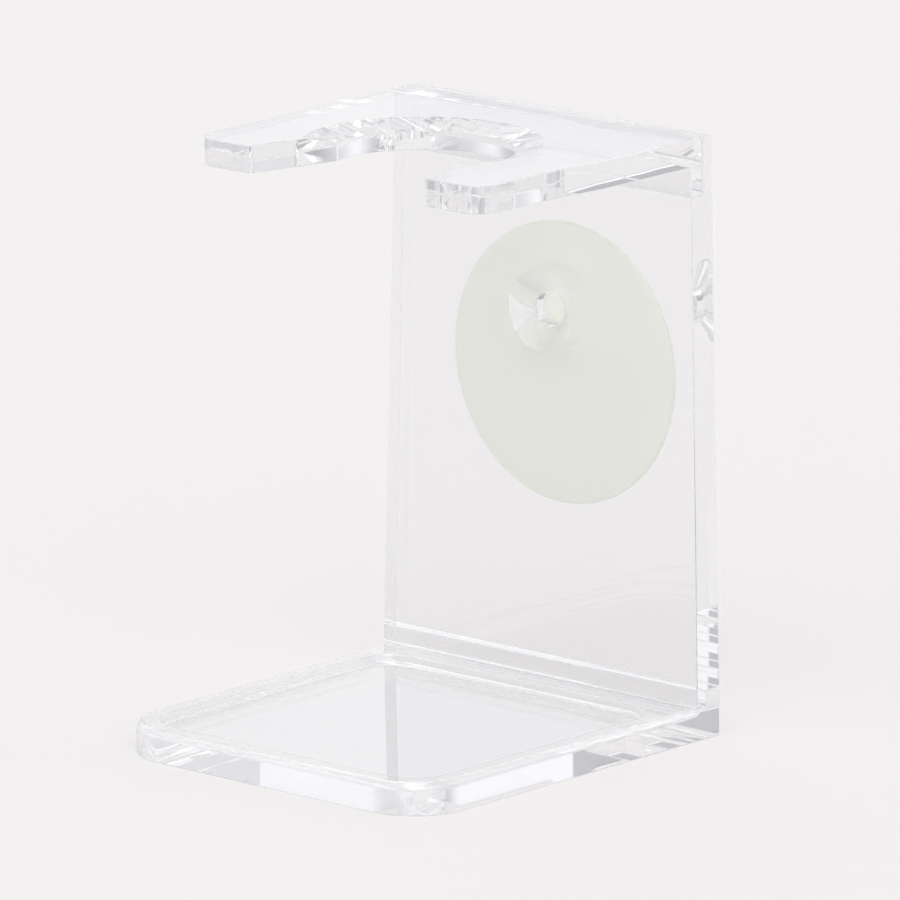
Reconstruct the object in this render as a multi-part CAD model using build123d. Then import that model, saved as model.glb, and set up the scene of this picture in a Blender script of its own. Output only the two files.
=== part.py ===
from build123d import *
import os

# Shaving-brush drip stand with a suction cup, in clear moulded styrene and soft PVC.
# X runs left to right, Y from the open tips back to the panel, Z up from the table.
# The origin is the centre of the base's underside. All sizes are in millimetres.

# Overall sizes
stand_height = 95.0
base_depth = 69.8
base_rear_width = 65.0
base_front_width = 63.6
yoke_width = 60.6

# Base tray
base_height = 5.1
base_corner_radius = 9.8
rim_width = 3.6
rim_round = 1.3
rim_inner_round = 0.4
rear_land = 4.2
recess_depth = 1.5
recess_cove = 0.9
underside_chamfer = 0.4

# Back panel and its two glued laps
panel_foot_thickness = 5.4
panel_head_thickness = 4.9
upstand_top = 7.75
upstand_thickness = 3.2
head_lap_thickness = 2.2
bond_gap = 0.05

# Brush yoke
yoke_thickness = 4.4
yoke_reach = 52.7
yoke_tip_width = 58.8
yoke_bend_start = 24.0
yoke_bend_end = 35.0
yoke_bend_radius = 10.0
yoke_tip_radius = 4.2
cradle_setback = 32.7
cradle_radius = 14.4
seat_radius = 18.6
seat_depth = 1.4
throat_width = 27.6
mouth_width = 35.6
mouth_tip_radius = 1.2
flange_drop = 4.7
flange_round = 1.0

# Suction cup and its hole in the panel
cup_diameter = 45.0
cup_axis_height = 63.7
cup_offset = 9.3
cup_depth = 3.6
cup_edge = 0.7
cup_centre_thickness = 1.9
cup_lip_width = 0.8
cup_face_gap = 0.15
cup_crown_gap = 0.65
boss_radius = 6.6
boss_skirt_radius = 9.4
boss_depth = 2.7
stub_radius = 2.82
stub_clearance = 0.05
stub_insertion = 1.8
stub_end_round = 0.5
countersink_radius = 6.7
countersink_depth = 2.4

rear_y = base_depth / 2
front_y = -base_depth / 2
foot_front_y = rear_y - panel_foot_thickness
cradle_y = rear_y - cradle_setback
yoke_underside = stand_height - yoke_thickness
flange_bottom = yoke_underside - flange_drop
hole_radius = stub_radius + stub_clearance
margin = 20.0
fine = 0.001


def slab_between(y_low, y_high, z_low, z_high):
    """A block wider than the stand, used to cut pieces to a range of Y and Z."""
    width = base_rear_width + 2 * margin
    block = Box(width, y_high - y_low, z_high - z_low)
    return Pos(0, (y_low + y_high) / 2, (z_low + z_high) / 2) * block


def share_of_height(z):
    """How far up the upright a height is, from 0 at the base's top to 1 at the top face."""
    return (z - base_height) / (stand_height - base_height)


def upright_half_width(z):
    """Half the upright's width at a height: its sides draw in upwards."""
    return (base_rear_width + (yoke_width - base_rear_width) * share_of_height(z)) / 2


def panel_front_at(z):
    """Y of the panel's front face at a height: the panel thins towards its head."""
    return foot_front_y + (panel_foot_thickness - panel_head_thickness) * share_of_height(z)


def tapered_block():
    """The upright's front view, which narrows upwards, carried through the whole depth. Its
    sides are the draft that the mouldings need to leave their tools."""
    face = Polygon(
        (-base_rear_width / 2, base_height),
        (base_rear_width / 2, base_height),
        (yoke_width / 2, stand_height),
        (-yoke_width / 2, stand_height),
        align=None,
    )
    return extrude(Plane((0, rear_y, 0), (1, 0, 0), (0, -1, 0)) * face, base_depth)


def upright():
    """The whole upright, from the base's top to the top face, with its front face leaning back."""
    side = Polygon(
        (rear_y, base_height),
        (foot_front_y, base_height),
        (panel_front_at(stand_height), stand_height),
        (rear_y, stand_height),
        align=None,
    )
    return tapered_block() & extrude(Plane.YZ * side, base_rear_width, both=True)


def base_half_width(y):
    """Half the base's width at a place along its depth."""
    share = (rear_y - y) / base_depth
    return (base_rear_width + (base_front_width - base_rear_width) * share) / 2


def trapezoid(y_front, y_rear, inset):
    """The base's plan between two places along its depth, drawn in by an inset at the sides."""
    front_half = base_half_width(y_front) - inset
    rear_half = base_half_width(y_rear) - inset
    return Polygon(
        (-rear_half, y_rear),
        (-front_half, y_front),
        (front_half, y_front),
        (rear_half, y_rear),
        align=None,
    )


def base_tray():
    """Base with a rounded rim, a shallow drip recess and a low upstand behind the panel."""
    plan = trapezoid(front_y, rear_y, 0)
    plan = fillet(plan.vertices().group_by(Axis.Y)[0], base_corner_radius)
    plain = extrude(plan, base_height)
    plain = chamfer(plain.edges().group_by(Axis.Z)[0], underside_chamfer)
    outer_edges = plain.edges().group_by(Axis.Z)[-1].sort_by(Axis.Y)[:-1]
    rounded = fillet(outer_edges, rim_round)
    tray = rounded & slab_between(front_y, foot_front_y, 0, base_height)
    tray += plain & slab_between(foot_front_y, rear_y, 0, base_height)

    recess_plan = trapezoid(front_y + rim_width, foot_front_y - rear_land, rim_width)
    recess_plan = fillet(recess_plan.vertices(), base_corner_radius - rim_width)
    floor_height = base_height - recess_depth
    recess = extrude(Pos(0, 0, floor_height) * recess_plan, recess_depth)
    recess = fillet(recess.edges().group_by(Axis.Z)[0], recess_cove)
    tray -= recess
    lip_half = base_half_width(0) - (rim_width + rim_round) / 2
    lip_front_y = front_y + (rim_width + rim_round) / 2
    lip = tray.edges().filter_by_position(Axis.Z, base_height - fine, base_height + fine)
    lip = lip.filter_by_position(Axis.Y, lip_front_y, foot_front_y - rear_land / 2)
    lip = lip.filter_by_position(Axis.X, -lip_half, lip_half)
    tray = fillet(lip, rim_inner_round)

    upstand = upright() & slab_between(rear_y - upstand_thickness, rear_y, 0, upstand_top)
    return tray + upstand


def back_panel():
    """Upright panel, halved at its foot for the upstand and at its head for the flange."""
    panel = upright() & slab_between(front_y, rear_y, base_height + bond_gap, stand_height)
    foot_lap = slab_between(
        rear_y - upstand_thickness - bond_gap, rear_y + margin, 0, upstand_top + bond_gap
    )
    panel -= foot_lap
    head_lap = slab_between(
        front_y, rear_y - head_lap_thickness, flange_bottom - bond_gap, stand_height + margin
    )
    lap_corner = head_lap.edges().filter_by(Axis.X).group_by(Axis.Y)[-1].sort_by(Axis.Z)[0]
    head_lap = fillet(lap_corner, flange_round + bond_gap)
    panel -= head_lap

    hole_front_y = panel_front_at(cup_axis_height)
    along_y = Plane((0, hole_front_y, cup_axis_height), (1, 0, 0), (0, 1, 0))
    through = extrude(along_y * Circle(hole_radius), rear_y + margin - hole_front_y)
    slope = (countersink_radius - hole_radius) / countersink_depth
    sink_height = countersink_depth + 1
    sink = Cone(
        countersink_radius + slope,
        hole_radius,
        sink_height,
        align=(Align.CENTER, Align.CENTER, Align.MIN),
    )
    return panel - through - along_y.offset(-1) * sink


def brush_yoke():
    """Open-fronted cradle plate with a coned seat, and a flange glued to the panel."""
    plate_rear_y = rear_y - head_lap_thickness - bond_gap
    tip_y = rear_y - yoke_reach
    blank_half = upright_half_width(flange_bottom)
    outline = Polygon(
        (-blank_half, plate_rear_y),
        (-blank_half, rear_y - yoke_bend_start),
        (-yoke_tip_width / 2, rear_y - yoke_bend_end),
        (-yoke_tip_width / 2, tip_y),
        (yoke_tip_width / 2, tip_y),
        (yoke_tip_width / 2, rear_y - yoke_bend_end),
        (blank_half, rear_y - yoke_bend_start),
        (blank_half, plate_rear_y),
        align=None,
    )
    by_depth = outline.vertices().group_by(Axis.Y)
    outline = fillet(by_depth[1] + by_depth[2], yoke_bend_radius)
    outline = fillet(outline.vertices().group_by(Axis.Y)[0], yoke_tip_radius)

    throat_y = cradle_y - (cradle_radius**2 - (throat_width / 2) ** 2) ** 0.5
    mouth = Polygon(
        (-throat_width / 2, cradle_y),
        (-throat_width / 2, throat_y),
        (-mouth_width / 2, tip_y),
        (mouth_width / 2, tip_y),
        (throat_width / 2, throat_y),
        (throat_width / 2, cradle_y),
        align=None,
    )
    outline -= Pos(0, cradle_y) * Circle(cradle_radius) + mouth
    mouth_corners = outline.vertices().group_by(Axis.Y)[0].sort_by(lambda v: abs(v.X))[:2]
    outline = fillet(mouth_corners, mouth_tip_radius)

    plate = extrude(Pos(0, 0, yoke_underside) * outline, yoke_thickness)
    seat = Cone(cradle_radius, seat_radius, seat_depth)
    plate -= Pos(0, cradle_y, stand_height - seat_depth / 2) * seat

    flange = upright() & slab_between(front_y, plate_rear_y, flange_bottom, yoke_underside)
    foot_edge = flange.edges().filter_by(Axis.X).group_by(Axis.Z)[0].sort_by(Axis.Y)[-1]
    flange = fillet(foot_edge, flange_round)
    return (plate + flange) & tapered_block()


def suction_cup():
    """Soft disc dished towards the wall, with a stub above its centre that turns in the panel."""
    disc_height = cup_axis_height - cup_offset
    radius = cup_diameter / 2
    lip_y = rear_y + cup_depth
    face_y = rear_y + cup_crown_gap
    front_arc = ThreePointArc(
        (0, face_y),
        (radius / 2, face_y + (lip_y - cup_edge - face_y) / 4),
        (radius, lip_y - cup_edge),
    )
    hollow_y = face_y + cup_centre_thickness
    hollow_radius = radius - cup_lip_width
    hollow_arc = ThreePointArc(
        (hollow_radius, lip_y),
        (hollow_radius / 2, lip_y - (lip_y - hollow_y) * 3 / 4),
        (0, hollow_y),
    )
    outline = front_arc + Line(front_arc @ 1, (radius, lip_y))
    outline += Line((radius, lip_y), hollow_arc @ 0) + hollow_arc
    outline += Line(hollow_arc @ 1, (0, face_y))
    disc = Pos(0, 0, disc_height) * revolve(make_face(outline), Axis.Y, 360)

    boss_face_y = rear_y + cup_face_gap
    stub_end_y = rear_y - stub_insertion
    along_y = Plane((0, boss_face_y, cup_axis_height), (1, 0, 0), (0, 1, 0))
    base_align = (Align.CENTER, Align.CENTER, Align.MIN)
    boss = along_y * Cone(boss_radius, boss_skirt_radius, boss_depth, align=base_align)
    stub_length = boss_face_y + boss_depth / 2 - stub_end_y
    stub = Cylinder(stub_radius, stub_length, align=base_align)
    stub = fillet(stub.edges().group_by(Axis.Z)[0], stub_end_round)
    stub = along_y.offset(stub_end_y - boss_face_y) * stub
    return disc + boss + stub


pieces = {
    "base_tray": base_tray(),
    "back_panel": back_panel(),
    "brush_yoke": brush_yoke(),
    "suction_cup": suction_cup(),
}

os.makedirs("parts", exist_ok=True)
for name, piece in pieces.items():
    export_step(piece, f"parts/{name}.step")
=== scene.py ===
from math import asin, cos, radians, sin, tan

import bmesh
import bpy
from mathutils import Matrix, Vector


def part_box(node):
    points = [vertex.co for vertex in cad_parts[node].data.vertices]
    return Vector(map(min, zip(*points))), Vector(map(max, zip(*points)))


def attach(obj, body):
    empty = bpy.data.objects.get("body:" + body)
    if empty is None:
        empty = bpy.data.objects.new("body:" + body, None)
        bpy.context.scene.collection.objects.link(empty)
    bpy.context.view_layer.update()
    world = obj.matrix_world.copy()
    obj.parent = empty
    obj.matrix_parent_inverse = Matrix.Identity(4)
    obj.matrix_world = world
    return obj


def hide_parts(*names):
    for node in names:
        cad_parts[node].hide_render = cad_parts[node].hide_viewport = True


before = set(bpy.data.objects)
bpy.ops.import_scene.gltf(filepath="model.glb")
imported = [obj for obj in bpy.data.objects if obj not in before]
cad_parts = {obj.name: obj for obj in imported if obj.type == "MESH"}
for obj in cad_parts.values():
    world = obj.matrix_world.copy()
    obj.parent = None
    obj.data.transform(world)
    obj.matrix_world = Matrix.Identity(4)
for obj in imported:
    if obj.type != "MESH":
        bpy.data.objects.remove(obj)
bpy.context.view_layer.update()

MM = 0.001

# ---------------------------------------------------------------- sizes, in millimetres
tray_low, tray_high = (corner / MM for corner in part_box("base_tray"))
panel_low, panel_high = (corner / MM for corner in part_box("back_panel"))
yoke_low, yoke_high = (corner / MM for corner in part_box("brush_yoke"))
cup_low, cup_high = (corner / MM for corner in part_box("suction_cup"))

REAR_Y = tray_high.y
FRONT_Y = tray_low.y
STAND_HEIGHT = yoke_high.z

BASE_HEIGHT = 5.1
BASE_FRONT_HALF = 31.8
BASE_REAR_HALF = tray_high.x
BASE_CORNER_RADIUS = 9.8
RIM_WIDTH = 3.6
RIM_ROUND = 1.3
RECESS_DEPTH = 1.5
RECESS_COVE = 0.9
REAR_LAND = 4.2
UNDERSIDE_CHAMFER = 0.4
UPSTAND_TOP = tray_high.z
UPSTAND_THICKNESS = 3.2

PANEL_FOOT_Y = panel_low.y
PANEL_LEAN = 0.5
HEAD_LAP = 2.2
BOND_GAP = 0.05

YOKE_HALF = 30.3
YOKE_TIP_HALF = 29.4
YOKE_TIP_Y = yoke_low.y
YOKE_THICKNESS = 4.4
BEND_START = 24.0
BEND_END = 35.0
CRADLE_Y = REAR_Y - 32.7
CRADLE_RADIUS = 14.4
SEAT_RADIUS = 18.6
SEAT_DEPTH = 1.4
THROAT_HALF = 13.8
MOUTH_HALF = 17.8
YOKE_TIP_RADIUS = 4.2
MOUTH_TIP_RADIUS = 1.2
THROAT_RADIUS = 1.0
YOKE_BEND_RADIUS = 10.0
BORE_STEPS = 120
SEAT_STEPS = 180
FLANGE_BOTTOM = yoke_low.z
FLANGE_ROUND = 1.0

CUP_RADIUS = cup_high.x
CUP_AXIS_Z = 63.7
CUP_CENTRE_Z = (cup_low.z + cup_high.z) / 2
HOLE_RADIUS = 2.87
COUNTERSINK_RADIUS = 6.7
COUNTERSINK_DEPTH = 2.4

EDGE_ROUND = 0.16
OUTSIDE = 20.0
FINE = 0.001


def panel_front_at(z):
    share = (z - BASE_HEIGHT) / (STAND_HEIGHT - BASE_HEIGHT)
    return PANEL_FOOT_Y + PANEL_LEAN * share


# ---------------------------------------------------------------- mesh helpers
def polygon(bm, points):
    """A flat face through a few corner points, in millimetres."""
    corners = [bm.verts.new(Vector(p)) for p in points]
    return bm.faces.new(corners)


def round_corners(bm, radii):
    """Rounds corners of flat outlines. radii is a list of (place, radius): the corner nearest
    to the place is turned into an arc."""
    for place, radius in radii:
        corner = min(bm.verts, key=lambda v: (v.co - Vector(place)).length)
        before, after = (e.other_vert(corner).co - corner.co for e in corner.link_edges)
        half_turn = (radians(180) - before.angle(after)) / 2
        bmesh.ops.bevel(
            bm,
            geom=[corner],
            offset=radius * tan(half_turn),
            offset_type="OFFSET",
            segments=max(6, int(radius * 6)),
            profile=0.5,
            affect="VERTICES",
            material=-1,
        )


def push(bm, direction):
    """Extrudes every face of a flat outline into a closed prism."""
    grown = bmesh.ops.extrude_face_region(bm, geom=bm.faces[:])
    top = [item for item in grown["geom"] if isinstance(item, bmesh.types.BMVert)]
    bmesh.ops.translate(bm, vec=Vector(direction), verts=top)
    bmesh.ops.recalc_face_normals(bm, faces=bm.faces[:])
    return top


def to_object(bm, name):
    """Turns millimetres into metres and makes the object."""
    bmesh.ops.scale(bm, vec=Vector((MM, MM, MM)), verts=bm.verts[:])
    bmesh.ops.recalc_face_normals(bm, faces=bm.faces[:])
    mesh = bpy.data.meshes.new(name)
    bm.to_mesh(mesh)
    bm.free()
    piece = bpy.data.objects.new(name, mesh)
    bpy.context.scene.collection.objects.link(piece)
    return piece


def settle(piece):
    """Applies a piece's modifiers to its mesh."""
    bpy.context.view_layer.update()
    graph = bpy.context.evaluated_depsgraph_get()
    mesh = bpy.data.meshes.new_from_object(piece.evaluated_get(graph))
    piece.modifiers.clear()
    piece.data = mesh
    mesh.name = piece.name


def clean(piece):
    """Merges stray points and flat neighbours that a cut leaves behind."""
    bm = bmesh.new()
    bm.from_mesh(piece.data)
    bmesh.ops.remove_doubles(bm, verts=bm.verts[:], dist=2e-6)
    bmesh.ops.dissolve_limit(
        bm, angle_limit=radians(0.05), verts=bm.verts[:], edges=bm.edges[:]
    )
    bm.to_mesh(piece.data)
    bm.free()


def combine(piece, tool, operation):
    """Cuts, keeps or joins with another solid, which is then thrown away."""
    change = piece.modifiers.new("combine", "BOOLEAN")
    change.object = tool
    change.operation = operation
    change.solver = "EXACT"
    settle(piece)
    bpy.data.objects.remove(tool)
    clean(piece)


def ease_edges(piece, width, leave=None):
    """Small radius that a polished mould leaves along every arris.
    leave says which edges stay sharp, from their two ends in millimetres."""
    bm = bmesh.new()
    bm.from_mesh(piece.data)
    weight = bm.edges.layers.float.new("bevel_weight_edge")
    for edge in bm.edges:
        ends = [v.co / MM for v in edge.verts]
        fold = edge.calc_face_angle() if len(edge.link_faces) == 2 else 0
        edge[weight] = float(fold > radians(28) and not (leave and leave(*ends)))
        edge.smooth = fold < radians(12)
    for face in bm.faces:
        face.smooth = True
    bm.to_mesh(piece.data)
    bm.free()
    rounding = piece.modifiers.new("edge_round", "BEVEL")
    rounding.width = width * MM
    rounding.segments = 3
    rounding.limit_method = "WEIGHT"
    rounding.use_clamp_overlap = False
    rounding.miter_outer = "MITER_ARC"
    settle(piece)


def sharpen_cone(piece, upward):
    """Marks the edges where a cone, whose faces look up by a known share, meets other faces."""
    bm = bmesh.new()
    bm.from_mesh(piece.data)
    for face in bm.faces:
        face.smooth = True
    for edge in bm.edges:
        coned = [abs(face.normal.z - upward) < 0.004 for face in edge.link_faces]
        if any(coned) and not all(coned):
            edge.smooth = False
    bm.to_mesh(piece.data)
    bm.free()


def even_shading(piece):
    """Keeps the light flat across flat faces and turns it only in the small edge rounds."""
    shading = piece.modifiers.new("even_shading", "WEIGHTED_NORMAL")
    shading.mode = "FACE_AREA"
    shading.weight = 100
    shading.keep_sharp = True
    settle(piece)


def spun(name, profile, centre, axis, steps):
    """Closed solid of revolution. The profile is a list of (radius, place along the axis), and it
    starts and ends on the axis."""
    bm = bmesh.new()
    axis = Vector(axis)
    side = Vector((1, 0, 0))
    centre = Vector(centre)
    line = [bm.verts.new(centre + side * r + axis * along) for r, along in profile]
    edges = [bm.edges.new(pair) for pair in zip(line, line[1:])]
    bmesh.ops.spin(
        bm,
        geom=line + edges,
        cent=centre,
        axis=axis,
        angle=radians(360),
        steps=steps,
        use_merge=True,
    )
    bmesh.ops.remove_doubles(bm, verts=bm.verts[:], dist=1e-5)
    return to_object(bm, name)


# ---------------------------------------------------------------- the three styrene mouldings
def plan_prism(name, corners, radii, z_low, z_high):
    bm = bmesh.new()
    polygon(bm, [(x, y, z_low) for x, y in corners])
    round_corners(bm, [((x, y, z_low), radius) for (x, y), radius in radii])
    push(bm, (0, 0, z_high - z_low))
    return to_object(bm, name)


def side_prism(name, corners, radii, half_width):
    bm = bmesh.new()
    polygon(bm, [(-half_width, y, z) for y, z in corners])
    round_corners(bm, [((-half_width, y, z), radius) for (y, z), radius in radii])
    push(bm, (2 * half_width, 0, 0))
    return to_object(bm, name)


def upright_outline(name):
    """Tapered front view of the upright, as a deep prism: pieces of the upright keep what is inside."""
    bm = bmesh.new()
    corners = [
        (-BASE_REAR_HALF, BASE_HEIGHT),
        (BASE_REAR_HALF, BASE_HEIGHT),
        (YOKE_HALF, STAND_HEIGHT),
        (-YOKE_HALF, STAND_HEIGHT),
    ]
    taper = (BASE_REAR_HALF - YOKE_HALF) / (STAND_HEIGHT - BASE_HEIGHT)
    spread = taper * OUTSIDE
    corners[0] = (-BASE_REAR_HALF - spread, BASE_HEIGHT - OUTSIDE)
    corners[1] = (BASE_REAR_HALF + spread, BASE_HEIGHT - OUTSIDE)
    corners[2] = (YOKE_HALF - spread, STAND_HEIGHT + OUTSIDE)
    corners[3] = (-YOKE_HALF + spread, STAND_HEIGHT + OUTSIDE)
    polygon(bm, [(x, REAR_Y + OUTSIDE, z) for x, z in corners])
    push(bm, (0, 2 * FRONT_Y - OUTSIDE, 0))
    return to_object(bm, name)


def base_half_at(y):
    share = (REAR_Y - y) / (REAR_Y - FRONT_Y)
    return BASE_REAR_HALF + (BASE_FRONT_HALF - BASE_REAR_HALF) * share


def base_plan(y_front, y_rear, inset):
    front_half = base_half_at(y_front) - inset
    rear_half = base_half_at(y_rear) - inset
    return [(-rear_half, y_rear), (-front_half, y_front), (front_half, y_front), (rear_half, y_rear)]


def base_tray():
    """Plate with a rounded rim, a shallow drip recess and the upstand behind the panel."""
    corners = base_plan(FRONT_Y, REAR_Y, 0)
    bm = bmesh.new()
    polygon(bm, [(x, y, 0) for x, y in corners])
    round_corners(bm, [((x, y, 0), BASE_CORNER_RADIUS) for x, y in corners[1:3]])
    push(bm, (0, 0, BASE_HEIGHT))
    lap_y = REAR_Y - UPSTAND_THICKNESS
    for y in (PANEL_FOOT_Y, lap_y):
        everything = bm.verts[:] + bm.edges[:] + bm.faces[:]
        bmesh.ops.bisect_plane(bm, geom=everything, plane_co=(0, y, 0), plane_no=(0, 1, 0))
    top = [e for e in bm.edges if all(v.co.z > BASE_HEIGHT - FINE for v in e.verts)]
    rim = [e for e in top if len([f for f in e.link_faces if f.normal.z > 0.5]) == 1]
    rim = [e for e in rim if all(v.co.y < PANEL_FOOT_Y + FINE for v in e.verts)]
    bmesh.ops.bevel(
        bm, geom=rim, offset=RIM_ROUND, segments=10, profile=0.5, affect="EDGES", material=-1
    )
    land = [f for f in bm.faces if f.normal.z > 0.99 and f.calc_center_median().y > lap_y]
    grown = bmesh.ops.extrude_face_region(bm, geom=land)
    raised = [item for item in grown["geom"] if isinstance(item, bmesh.types.BMVert)]
    bmesh.ops.translate(bm, vec=Vector((0, 0, UPSTAND_TOP - BASE_HEIGHT)), verts=raised)
    bmesh.ops.delete(bm, geom=land, context="FACES")
    tray = to_object(bm, "base_tray_moulding")
    clean(tray)

    recess_corners = base_plan(FRONT_Y + RIM_WIDTH, PANEL_FOOT_Y - REAR_LAND, RIM_WIDTH)
    floor_z = BASE_HEIGHT - RECESS_DEPTH
    bm = bmesh.new()
    polygon(bm, [(x, y, floor_z) for x, y in recess_corners])
    round_corners(bm, [((x, y, floor_z), BASE_CORNER_RADIUS - RIM_WIDTH) for x, y in recess_corners])
    push(bm, (0, 0, RECESS_DEPTH + 1))
    bottom = [e for e in bm.edges if all(abs(v.co.z - floor_z) < 1e-4 for v in e.verts)]
    bmesh.ops.bevel(
        bm, geom=bottom, offset=RECESS_COVE, segments=8, profile=0.5, affect="EDGES", material=-1
    )
    combine(tray, to_object(bm, "recess"), "DIFFERENCE")

    def rim_end(first, second):
        """The step where the rounded rim stops at the panel."""
        return max(abs(first.y - PANEL_FOOT_Y), abs(second.y - PANEL_FOOT_Y)) < FINE

    ease_edges(tray, EDGE_ROUND, leave=rim_end)
    even_shading(tray)
    return tray


def back_panel():
    """Upright sheet, halved at its foot and head, with the countersunk hole for the cup's stub."""
    foot_z = BASE_HEIGHT + BOND_GAP
    lap_y = REAR_Y - UPSTAND_THICKNESS - BOND_GAP
    lap_z = UPSTAND_TOP + BOND_GAP
    head_y = REAR_Y - HEAD_LAP
    head_z = FLANGE_BOTTOM - BOND_GAP
    side = [
        (PANEL_FOOT_Y, foot_z),
        (lap_y, foot_z),
        (lap_y, lap_z),
        (REAR_Y, lap_z),
        (REAR_Y, STAND_HEIGHT),
        (head_y, STAND_HEIGHT),
        (head_y, head_z),
        (panel_front_at(head_z), head_z),
    ]
    panel = side_prism(
        "back_panel_moulding", side, [((head_y, head_z), FLANGE_ROUND)], BASE_REAR_HALF + 1
    )
    combine(panel, upright_outline("outline"), "INTERSECT")
    mouth_y = panel_front_at(CUP_AXIS_Z)
    slope = (COUNTERSINK_RADIUS - HOLE_RADIUS) / COUNTERSINK_DEPTH
    profile = [
        (0, -1),
        (COUNTERSINK_RADIUS + slope, -1),
        (HOLE_RADIUS, COUNTERSINK_DEPTH),
        (HOLE_RADIUS, 8),
        (0, 8),
    ]
    tool = spun("countersink", profile, (0, mouth_y, CUP_AXIS_Z), (0, 1, 0), 96)
    combine(panel, tool, "DIFFERENCE")
    ease_edges(panel, EDGE_ROUND)
    even_shading(panel)
    return panel


def yoke_plan(name):
    """Top view of the cradle plate: outer outline, open mouth and round bore, as a deep prism."""
    low = FLANGE_BOTTOM - 5
    reach = (CRADLE_RADIUS**2 - THROAT_HALF**2) ** 0.5
    throat_y = CRADLE_Y - reach
    below = asin(reach / CRADLE_RADIUS)
    blank_half = yoke_high.x + 0.1
    outline = [
        (-MOUTH_HALF, YOKE_TIP_Y),
        (-YOKE_TIP_HALF, YOKE_TIP_Y),
        (-YOKE_TIP_HALF, REAR_Y - BEND_END),
        (-blank_half, REAR_Y - BEND_START),
        (-blank_half, REAR_Y + OUTSIDE),
        (blank_half, REAR_Y + OUTSIDE),
        (blank_half, REAR_Y - BEND_START),
        (YOKE_TIP_HALF, REAR_Y - BEND_END),
        (YOKE_TIP_HALF, YOKE_TIP_Y),
        (MOUTH_HALF, YOKE_TIP_Y),
        (THROAT_HALF, throat_y),
    ]
    bm = bmesh.new()
    line = [bm.verts.new(Vector((x, y, low))) for x, y in outline]
    edges = [bm.edges.new(pair) for pair in zip(line, line[1:])]
    arc = bmesh.ops.spin(
        bm,
        geom=[line[-1]],
        cent=Vector((0, CRADLE_Y, low)),
        axis=Vector((0, 0, 1)),
        angle=radians(180) + 2 * below,
        steps=BORE_STEPS,
    )
    far_throat = [item for item in arc["geom_last"] if isinstance(item, bmesh.types.BMVert)]
    bm.edges.new((far_throat[0], line[0]))
    bmesh.ops.contextual_create(bm, geom=bm.edges[:])
    rounds = [(outline[0], MOUTH_TIP_RADIUS), (outline[9], MOUTH_TIP_RADIUS)]
    rounds += [(outline[1], YOKE_TIP_RADIUS), (outline[8], YOKE_TIP_RADIUS)]
    rounds += [(outline[i], YOKE_BEND_RADIUS) for i in (2, 3, 6, 7)]
    rounds += [((side * THROAT_HALF, throat_y), THROAT_RADIUS) for side in (-1, 1)]
    round_corners(bm, [((x, y, low), radius) for (x, y), radius in rounds])
    push(bm, (0, 0, STAND_HEIGHT - low + OUTSIDE))
    return to_object(bm, name)


def brush_yoke():
    """Cradle plate with its coned seat, open mouth, and the flange that is glued to the panel."""
    rear = REAR_Y - HEAD_LAP - BOND_GAP
    under = STAND_HEIGHT - YOKE_THICKNESS
    flange_front = panel_front_at(FLANGE_BOTTOM)
    side = [
        (YOKE_TIP_Y - OUTSIDE, under),
        (flange_front, under),
        (flange_front, FLANGE_BOTTOM),
        (rear, FLANGE_BOTTOM),
        (rear, STAND_HEIGHT),
        (YOKE_TIP_Y - OUTSIDE, STAND_HEIGHT),
    ]
    yoke = side_prism(
        "brush_yoke_moulding", side, [((rear, FLANGE_BOTTOM), FLANGE_ROUND)], 2 * YOKE_HALF
    )
    combine(yoke, upright_outline("outline"), "INTERSECT")
    combine(yoke, yoke_plan("plan"), "INTERSECT")
    ease_edges(yoke, EDGE_ROUND)
    slope = (SEAT_RADIUS - CRADLE_RADIUS) / SEAT_DEPTH
    seat = [
        (0, STAND_HEIGHT - SEAT_DEPTH - CRADLE_RADIUS / slope),
        (SEAT_RADIUS + slope, STAND_HEIGHT + 1),
        (0, STAND_HEIGHT + 1),
    ]
    combine(yoke, spun("seat", seat, (0, CRADLE_Y, 0), (0, 0, 1), SEAT_STEPS), "DIFFERENCE")
    sharpen_cone(yoke, slope / (slope**2 + 1) ** 0.5)
    even_shading(yoke)
    return yoke


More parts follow.
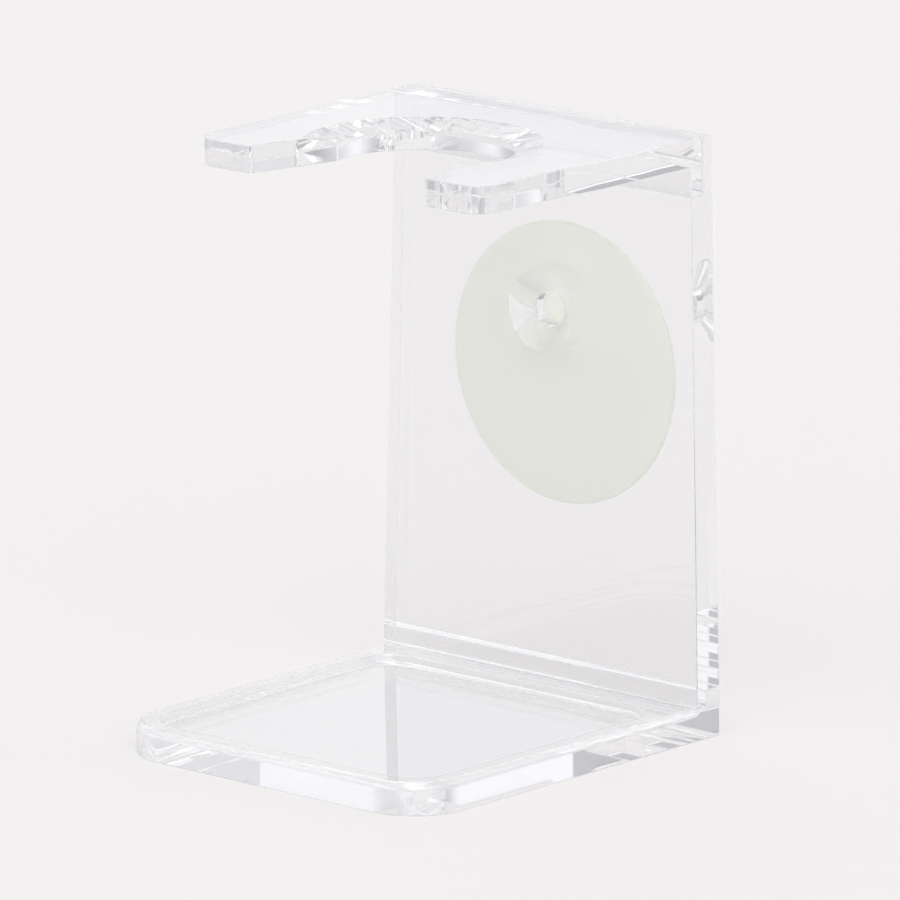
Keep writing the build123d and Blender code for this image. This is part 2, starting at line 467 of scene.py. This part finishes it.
# ---------------------------------------------------------------- the soft cup
def suction_cup():
    """Soft disc lofted through rings: a stub and boss above the centre, easing into the dished disc."""
    stub_end = cup_low.y
    boss_face = REAR_Y + 0.15
    lip_y = cup_high.y
    rings = [
        (1.9, 0.0, stub_end),
        (2.25, 0.0, stub_end + 0.06),
        (2.6, 0.0, stub_end + 0.25),
        (2.8, 0.0, stub_end + 0.55),
        (2.82, 0.0, stub_end + 0.8),
        (2.82, 0.0, boss_face - 0.02),
        (3.0, 0.0, boss_face),
        (6.2, 0.0, boss_face),
        (6.9, 0.0, boss_face + 0.06),
        (7.6, 0.02, boss_face + 0.22),
        (8.4, 0.06, boss_face + 0.48),
        (9.4, 0.13, boss_face + 0.72),
        (10.8, 0.24, boss_face + 0.9),
        (12.6, 0.4, boss_face + 1.06),
        (14.6, 0.58, boss_face + 1.25),
        (16.8, 0.76, boss_face + 1.5),
        (19.0, 0.9, boss_face + 1.85),
        (21.0, 0.98, boss_face + 2.27),
        (22.1, 1.0, lip_y - 0.72),
        (22.42, 1.0, lip_y - 0.62),
        (22.5, 1.0, lip_y - 0.4),
        (22.5, 1.0, lip_y - 0.15),
        (22.4, 1.0, lip_y - 0.03),
        (22.2, 1.0, lip_y),
        (21.7, 1.0, lip_y),
        (21.4, 1.0, lip_y - 0.04),
        (19.0, 1.0, lip_y - 0.36),
        (15.0, 1.0, lip_y - 0.68),
        (10.0, 1.0, lip_y - 0.9),
        (5.0, 1.0, lip_y - 1.02),
        (1.0, 1.0, lip_y - 1.05),
    ]
    drop = CUP_AXIS_Z - CUP_CENTRE_Z
    bm = bmesh.new()
    previous = None
    turn = Matrix.Rotation(radians(90), 4, "X")
    for radius, share, y in rings:
        place = Matrix.Translation((0, y, CUP_AXIS_Z - drop * share)) @ turn
        made = bmesh.ops.create_circle(bm, cap_ends=False, radius=radius, segments=144, matrix=place)
        loop = list({edge for v in made["verts"] for edge in v.link_edges})
        if previous:
            bmesh.ops.bridge_loops(bm, edges=previous + loop)
        previous = loop
    bmesh.ops.holes_fill(bm, edges=[e for e in bm.edges if e.is_boundary])
    bmesh.ops.recalc_face_normals(bm, faces=bm.faces[:])
    cup = to_object(bm, "suction_cup_moulding")
    for face in cup.data.polygons:
        face.use_smooth = True
    return cup


# ---------------------------------------------------------------- materials
def linear(hex_colour, alpha=1.0):
    """sRGB hex to the linear colour that a shader works in."""
    channels = [int(hex_colour[i : i + 2], 16) / 255 for i in (1, 3, 5)]
    return tuple(c / 12.92 if c <= 0.04045 else ((c + 0.055) / 1.055) ** 2.4 for c in channels) + (
        alpha,
    )


def node(tree, kind, settings=None, **links):
    """Adds a node with its settings; each link is an input's name and the output that feeds it."""
    made = tree.nodes.new(kind)
    for name, value in (settings or {}).items():
        if name in made.inputs:
            made.inputs[name].default_value = value
        else:
            setattr(made, name, value)
    for name, source in links.items():
        tree.links.new(source, made.inputs[name.replace("_", " ")])
    return made


def new_material(name):
    material = bpy.data.materials.new(name)
    material.use_nodes = True
    material.node_tree.nodes.clear()
    return material, material.node_tree


def clear_styrene():
    """Crystal polystyrene, injection moulded in a polished tool: water-clear, sharp highlights, and
    a faint flow waviness a few millimetres long."""
    material, tree = new_material("crystal_styrene_moulded")
    place = node(tree, "ShaderNodeTexCoord").outputs["Object"]
    flow = node(tree, "ShaderNodeTexNoise", {"Scale": 1 / (9 * MM), "Detail": 1.0}, Vector=place)
    wave = node(
        tree,
        "ShaderNodeBump",
        {"Strength": 0.08, "Distance": 0.05 * MM},
        Height=flow.outputs["Fac"],
    )
    shader = node(
        tree,
        "ShaderNodeBsdfPrincipled",
        {
            "Base Color": linear("#f9f9fa"),
            "Roughness": 0.015,
            "IOR": 1.59,
            "Transmission Weight": 1.0,
        },
        Normal=wave.outputs["Normal"],
    )
    node(tree, "ShaderNodeOutputMaterial", Surface=shader.outputs["BSDF"])
    return material


def soft_pvc():
    """Plasticised PVC, injection moulded: milky, faintly green, with a satin skin."""
    material, tree = new_material("soft_pvc_translucent")
    place = node(tree, "ShaderNodeTexCoord").outputs["Object"]
    skin = node(tree, "ShaderNodeTexNoise", {"Scale": 1 / (1.5 * MM), "Detail": 3.0}, Vector=place)
    satin = node(
        tree,
        "ShaderNodeMapRange",
        {"To Min": 0.38, "To Max": 0.5},
        Value=skin.outputs["Fac"],
    )
    relief = node(
        tree,
        "ShaderNodeBump",
        {"Strength": 0.1, "Distance": 0.02 * MM},
        Height=skin.outputs["Fac"],
    )
    shader = node(
        tree,
        "ShaderNodeBsdfPrincipled",
        {
            "Base Color": linear("#fdfef8"),
            "IOR": 1.53,
            "Transmission Weight": 0.3,
        },
        Roughness=satin.outputs["Result"],
        Normal=relief.outputs["Normal"],
    )
    node(tree, "ShaderNodeOutputMaterial", Surface=shader.outputs["BSDF"])
    return material


def pale_board():
    """Matt white laminate under the stand."""
    material, tree = new_material("matt_white_laminate")
    place = node(tree, "ShaderNodeTexCoord").outputs["Object"]
    tone = node(tree, "ShaderNodeTexNoise", {"Scale": 2.0, "Detail": 1.0}, Vector=place)
    shade = node(
        tree,
        "ShaderNodeMix",
        {"data_type": "RGBA"},
    )
    shade.inputs[6].default_value = linear("#f1eeec")
    shade.inputs[7].default_value = linear("#f4f2f0")
    tree.links.new(tone.outputs["Fac"], shade.inputs[0])
    shader = node(tree, "ShaderNodeBsdfPrincipled", {"Roughness": 0.6})
    tree.links.new(shade.outputs[2], shader.inputs["Base Color"])
    node(tree, "ShaderNodeOutputMaterial", Surface=shader.outputs["BSDF"])
    return material


# ---------------------------------------------------------------- studio
# Each soft light: degrees round from the front, degrees up, how narrow it is, how strong.
SOFT_LIGHTS = [
    (60, 42, 10, 1.4),
    (0, 50, 7, 1.1),
    (150, 35, 8, 0.7),
    (245, 35, 8, 0.6),
    (215, 10, 30, 0.55),
    (270, 8, 30, 0.4),
]
STUDIO_LEVEL = 0.86


def floor():
    bm = bmesh.new()
    bmesh.ops.create_circle(bm, cap_ends=True, radius=6000, segments=96)
    bmesh.ops.translate(bm, vec=Vector((0, 0, -BOND_GAP)), verts=bm.verts[:])
    board = to_object(bm, "floor")
    board.data.materials.append(pale_board())


def sky():
    """A pale tent round the stand, cool and dim low down, with large soft lights beyond it."""
    world = bpy.data.worlds.new("studio")
    bpy.context.scene.world = world
    world.use_nodes = True
    tree = world.node_tree
    tree.nodes.clear()
    toward = node(tree, "ShaderNodeTexCoord").outputs["Generated"]
    height = node(tree, "ShaderNodeSeparateXYZ", Vector=toward).outputs["Z"]
    rise = node(
        tree,
        "ShaderNodeMapRange",
        {"interpolation_type": "SMOOTHSTEP", "From Min": 0.0, "From Max": 0.6},
        Value=height,
    )
    tent = node(tree, "ShaderNodeMix", {"data_type": "RGBA"})
    tree.links.new(rise.outputs["Result"], tent.inputs[0])
    tent.inputs[6].default_value = linear("#b3b3ba")
    tent.inputs[7].default_value = linear("#d2d2d4")
    total = tent.outputs[2]
    for azimuth, elevation, narrowness, strength in SOFT_LIGHTS:
        turn, lift = radians(azimuth), radians(elevation)
        facing = node(tree, "ShaderNodeVectorMath", {"operation": "DOT_PRODUCT"})
        tree.links.new(toward, facing.inputs[0])
        facing.inputs[1].default_value = (
            sin(turn) * cos(lift),
            -cos(turn) * cos(lift),
            sin(lift),
        )
        fade = node(tree, "ShaderNodeMath", {"operation": "MULTIPLY_ADD"})
        tree.links.new(facing.outputs["Value"], fade.inputs[0])
        fade.inputs[1].default_value = narrowness
        fade.inputs[2].default_value = -narrowness
        glow = node(tree, "ShaderNodeMath", {"operation": "EXPONENT"})
        tree.links.new(fade.outputs[0], glow.inputs[0])
        level = node(tree, "ShaderNodeMath", {"operation": "MULTIPLY"})
        tree.links.new(glow.outputs[0], level.inputs[0])
        level.inputs[1].default_value = strength
        both = node(tree, "ShaderNodeVectorMath", {"operation": "ADD"})
        tree.links.new(total, both.inputs[0])
        tree.links.new(level.outputs[0], both.inputs[1])
        total = both.outputs["Vector"]
    light = node(tree, "ShaderNodeBackground", {"Strength": STUDIO_LEVEL}, Color=total)
    node(tree, "ShaderNodeOutputWorld", Surface=light.outputs["Background"])


def camera():
    azimuth, elevation, roll = radians(41.386), radians(13.384), radians(-0.094)
    distance = 1813.9
    back = Vector(
        (sin(azimuth) * cos(elevation), -cos(azimuth) * cos(elevation), sin(elevation))
    )
    right = Vector((cos(azimuth), sin(azimuth), 0))
    up = back.cross(right)
    target = Vector((0, REAR_Y - 33.25, STAND_HEIGHT / 2))
    aim = target + right * 4.5 - up * 1.03
    place = target + back * distance
    looking = (aim - place).normalized()
    z_axis = -looking
    x_axis = up.cross(z_axis).normalized()
    y_axis = z_axis.cross(x_axis)
    turn = Matrix((x_axis, y_axis, z_axis)).transposed()
    data = bpy.data.cameras.new("camera")
    data.lens = 470.55
    data.sensor_width = 36
    data.clip_start = 0.05
    data.clip_end = 50
    made = bpy.data.objects.new("camera", data)
    made.matrix_world = Matrix.Translation(place * MM) @ turn.to_4x4() @ Matrix.Rotation(
        roll, 4, "Z"
    )
    bpy.context.scene.collection.objects.link(made)
    bpy.context.scene.camera = made


camera()
floor()
sky()
bpy.context.scene.view_settings.view_transform = "Standard"
bpy.context.scene.cycles.max_bounces = 128
bpy.context.scene.cycles.transmission_bounces = 128
bpy.context.scene.cycles.glossy_bounces = 128
bpy.context.scene.cycles.diffuse_bounces = 16
bpy.context.scene.cycles.blur_glossy = 0

styrene = clear_styrene()
pvc = soft_pvc()
PIECES = [
    (base_tray, "base_tray", "stand", styrene, "clear_styrene"),
    (back_panel, "back_panel", "stand", styrene, "clear_styrene"),
    (brush_yoke, "brush_yoke", "stand", styrene, "clear_styrene"),
    (suction_cup, "suction_cup", "cup", pvc, "cup_pvc"),
]
for make, cad_node, body, material, finish in PIECES:
    piece = make()
    piece.data.materials.clear()
    piece.data.materials.append(material)
    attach(piece, body)
    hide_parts(cad_node)
    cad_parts[cad_node].data.materials.clear()
    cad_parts[cad_node].data.materials.append(material)
